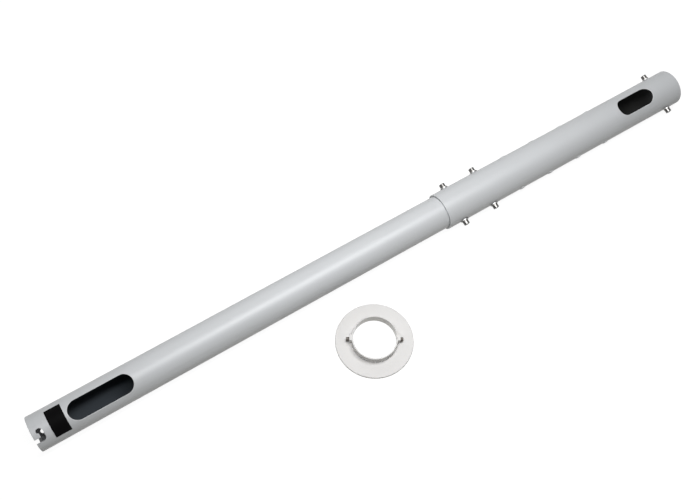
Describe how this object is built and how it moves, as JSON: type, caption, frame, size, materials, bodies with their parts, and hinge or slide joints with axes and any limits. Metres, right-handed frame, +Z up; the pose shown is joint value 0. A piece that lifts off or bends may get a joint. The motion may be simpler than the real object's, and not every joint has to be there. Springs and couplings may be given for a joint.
{
  "type": "projector ceiling mount",
  "caption": "Telescopic steel ceiling pole for a projector, with cable slots, bayonet hooks at its lower end, clamp screws at the sliding joint and a loose plastic trim ring.",
  "frame": {"origin": "on the pole's axis, between the two clamp screws of the ceiling end", "axes": "+X along the pole out of its ceiling end, +Z up from the floor that the pole lies on, and the trim ring lies on the -Y side"},
  "size_m": [1.045, 0.1956, 0.054],
  "materials": {
    "pole_paint": "fine satin silver-grey powder coat on steel tube",
    "label_film": "black printed film, left blank",
    "screw_steel": "bright nickel plate",
    "washer_steel": "bright zinc plate",
    "ring_plastic": "warm white moulded plastic, satin",
    "set_screw_black": "black oxide"
  },
  "bodies": {
    "outer": {"outer_pipe": "pole_paint", "joint_screws": "screw_steel", "joint_washers": "washer_steel", "joint_spring_washers": "washer_steel", "end_screws": "screw_steel", "end_washers": "washer_steel", "end_spring_washers": "washer_steel", "trim_ring": "ring_plastic", "ring_screws": "set_screw_black"},
    "inner": {"inner_pipe": "pole_paint", "blank_label": "label_film"}
  },
  "joints": [
    {"name": "pole_slide", "type": "slide", "parent": "outer", "child": "inner", "axis": [1, 0, 0], "range_m": [0, 0.2]}
  ]
}
